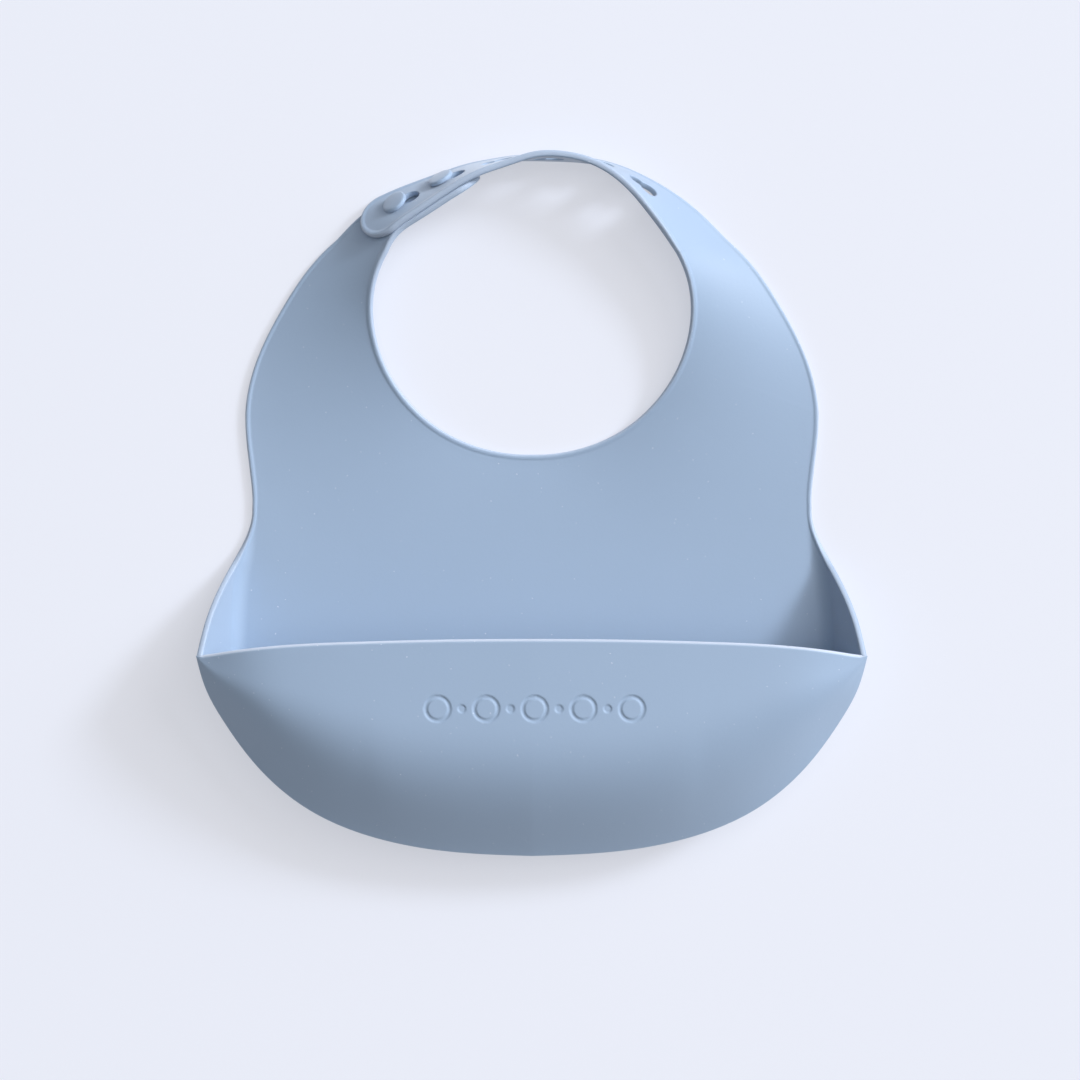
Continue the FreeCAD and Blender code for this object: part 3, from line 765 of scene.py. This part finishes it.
def lathe(name, profile, origin, axis):
    e = unit(np.cross(axis, vec(0.3, 0.2, 0.9)))
    g = np.cross(axis, e)
    q = np.linspace(0, 2 * np.pi, TURN_STEPS, endpoint=False)
    around = np.cos(q)[:, None] * e + np.sin(q)[:, None] * g
    ring = [origin + around * r + axis * h for r, h in profile[1:-1]]
    n, k = len(ring), np.arange(TURN_STEPS)
    k2 = (k + 1) % TURN_STEPS
    faces = ring_faces(n, TURN_STEPS)
    tips = [n * TURN_STEPS, n * TURN_STEPS + 1]
    for tip, base in zip(tips, (0, (n - 1) * TURN_STEPS)):
        faces += [(tip, base + a, base + b) for a, b in zip(k, k2)]
    ends = [origin + axis * profile[0][1], origin + axis * profile[-1][1]]
    return make_mesh(name, np.vstack(ring + ends), faces)


profile = [(0, -0.5), (STEM_R + .5, -0.5)] + arc_points(STEM_R + .5, .5, .5, 270, 180, 5)
profile += arc_points(STEM_R + .3, head_low - .3, .3, 180, 90, 4)
profile += arc_points(HEAD_R - .45, head_low + .45, .45, -90, 0, 6)
profile += arc_points(HEAD_R - .75, head_top - .87, .75, 0, 80, 8)
profile += [(HEAD_R * .5, head_top - .04), (HEAD_R * .25, head_top), (0, head_top)]
studs = []
for k, (p, n, _) in enumerate(stud_frames, 1):
    stud = lathe(f"stud_{k}_mushroom", profile, p, n)
    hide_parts(f"stud_{k}")
    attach(stud, "button_strap")
    studs.append(stud)

# %% [markdown]
# ## Material
# One matte pigmented silicone for the whole moulding: a pale highlight painted along the thin edges and the
# lip, a slow drift of tone, fine mould grain, and the small pale specks of dust that its tacky surface holds.
# %%


def linear(hexa):
    c = [int(hexa[i:i + 2], 16) / 255 for i in (1, 3, 5)]
    return tuple(x / 12.92 if x <= 0.04045 else ((x + 0.055) / 1.055) ** 2.4 for x in c) + (1.0,)


def add(tree, kind, inputs=None, **settings):
    node = tree.nodes.new(kind)
    for key, value in settings.items():
        setattr(node, key, value)
    for key, value in (inputs or {}).items():
        if hasattr(value, "is_output"):
            tree.links.new(value, node.inputs[key])
        else:
            node.inputs[key].default_value = value
    return node


# the pale edge tone is a painted highlight; DUST is the colour of real dust specks
SILICONE, SILICONE_2, EDGE_HIGHLIGHT, DUST = "#98AEC6", "#9DB3CB", "#DFE4EE", "#E3E7EE"
mat = bpy.data.materials.new("silicone_dusty_blue")
mat.use_nodes = True
tree = mat.node_tree
tree.nodes.clear()
where = add(tree, "ShaderNodeTexCoord").outputs["Object"]
cloud = add(tree, "ShaderNodeTexNoise", {"Vector": where, "Scale": 14.0, "Detail": 3.0})
grain = add(tree, "ShaderNodeTexNoise", {"Vector": where, "Scale": 900.0, "Detail": 2.0})
base = add(tree, "ShaderNodeMix", {"Factor": cloud.outputs["Fac"], "A": linear(SILICONE),
                                   "B": linear(SILICONE_2)}, data_type="RGBA")
# Painted highlight: the edge attribute mixes the colour towards a pale tone along edges and the lip.
mark = add(tree, "ShaderNodeAttribute", attribute_name="edge")
highlight_amount = add(tree, "ShaderNodeMath", {0: mark.outputs["Fac"], 1: 0.9}, operation="MULTIPLY")
highlighted = add(tree, "ShaderNodeMix", {"Factor": highlight_amount.outputs[0], "A": base.outputs["Result"],
                                    "B": linear(EDGE_HIGHLIGHT)}, data_type="RGBA")
bend = add(tree, "ShaderNodeTexNoise", {"Vector": where, "Scale": 700.0, "Detail": 1.0})
bent = add(tree, "ShaderNodeMix", {"Factor": 0.0012, "A": where, "B": bend.outputs["Color"]},
           data_type="RGBA")
cell = add(tree, "ShaderNodeTexVoronoi", {"Vector": bent.outputs["Result"], "Scale": 270.0})
speck = add(tree, "ShaderNodeMapRange", {"Value": cell.outputs["Distance"], "From Min": 0.03,
                                         "From Max": 0.06, "To Min": 0.75, "To Max": 0.0})
dusty = add(tree, "ShaderNodeMix", {"Factor": speck.outputs["Result"], "A": highlighted.outputs["Result"],
                                    "B": linear(DUST)}, data_type="RGBA")
relief = add(tree, "ShaderNodeMath", {0: speck.outputs["Result"], 1: 2.0, 2: grain.outputs["Fac"]},
             operation="MULTIPLY_ADD")
bump = add(tree, "ShaderNodeBump", {"Strength": 0.10, "Distance": 0.0002, "Height": relief.outputs[0]})
skin_node = add(tree, "ShaderNodeBsdfPrincipled",
                {"Base Color": dusty.outputs["Result"], "Roughness": 0.5, "IOR": 1.41,
                 "Specular IOR Level": 0.42, "Sheen Weight": 0.4, "Sheen Roughness": 0.5, "Normal": bump.outputs["Normal"]})
add(tree, "ShaderNodeOutputMaterial", {"Surface": skin_node.outputs["BSDF"]})
pieces = [back_piece, *front_pieces, holed, tab, buttoned, *studs]
for piece in pieces:
    piece.data.materials.append(mat)
print("material on", len(pieces), "pieces")

# %% [markdown]
# ## Stage
# A pale table of milky acrylic glows softly from below. A low cool key and a soft window stand at the upper
# right, with a wide light overhead.
# %%
TABLE_SIZE, TABLE_DROP, TABLE_GLOW, ROOM_LIGHT = 6.0, 0.0002, 0.52, 0.12
KEY_AZ, KEY_EL, KEY_SPREAD, KEY_POWER = 31.0, 28.0, 13.0, 2.2
AWAY, WINDOW_SIZE = 6.0, 4.4
WINDOW_AZ, WINDOW_EL, WINDOW_POWER = 33.0, 34.0, 233.0
OVER_AZ, OVER_EL, OVER_POWER = 40.0, 80.0, 125.0
table_mat = bpy.data.materials.new("table_white")
table_mat.use_nodes = True
table_skin = table_mat.node_tree.nodes["Principled BSDF"]
table_skin.inputs["Base Color"].default_value = linear("#999EA8")
table_skin.inputs["Roughness"].default_value = 0.9
table_skin.inputs["Emission Color"].default_value = linear("#F8F9FF")
table_skin.inputs["Emission Strength"].default_value = TABLE_GLOW
bpy.ops.mesh.primitive_plane_add(size=TABLE_SIZE, location=(0, 0, -TABLE_DROP))
table_obj = bpy.context.object
table_obj.name = "table"
table_obj.data.materials.append(table_mat)


def add_light(name, kind, az, el, away, power, colour, **settings):
    light = bpy.data.lights.new(name, kind)
    light.energy, light.color = power, linear(colour)[:3]
    for key, value in settings.items():
        setattr(light, key, value)
    o = bpy.data.objects.new(name, light)
    bpy.context.scene.collection.objects.link(o)
    a, e = math.radians(az), math.radians(el)
    o.location = Vector((math.cos(e) * math.cos(a), math.cos(e) * math.sin(a), math.sin(e))) * away
    o.rotation_euler = (-o.location).to_track_quat("-Z", "Y").to_euler()


add_light("key", "SUN", KEY_AZ, KEY_EL, 3.0, KEY_POWER, "#EFF4FF", angle=math.radians(KEY_SPREAD))
for name, az, el, power in (("window", WINDOW_AZ, WINDOW_EL, WINDOW_POWER),
                            ("overhead", OVER_AZ, OVER_EL, OVER_POWER)):
    add_light(name, "AREA", az, el, AWAY, power, "#FFFDFF", shape="SQUARE", size=WINDOW_SIZE)
world = bpy.data.worlds.new("room")
world.use_nodes = True
world.node_tree.nodes["Background"].inputs["Color"].default_value = linear("#FFFDFF")
world.node_tree.nodes["Background"].inputs["Strength"].default_value = ROOM_LIGHT
bpy.context.scene.world = world
bpy.context.scene.view_settings.view_transform = "Standard"

# %% [markdown]
# The camera looks straight down on the bib, a little to one side of its middle.
# %%
LENS, SENSOR, CAMERA_X, CAMERA_UP = 97.5, 36.0, 2.74, 1.0
cam = bpy.data.cameras.new("camera")
cam.lens, cam.sensor_width = LENS, SENSOR
cam_obj = bpy.data.objects.new("camera", cam)
cam_obj.location = (CAMERA_X * MM, 0.0, CAMERA_UP)
bpy.context.scene.collection.objects.link(cam_obj)
bpy.context.scene.camera = cam_obj
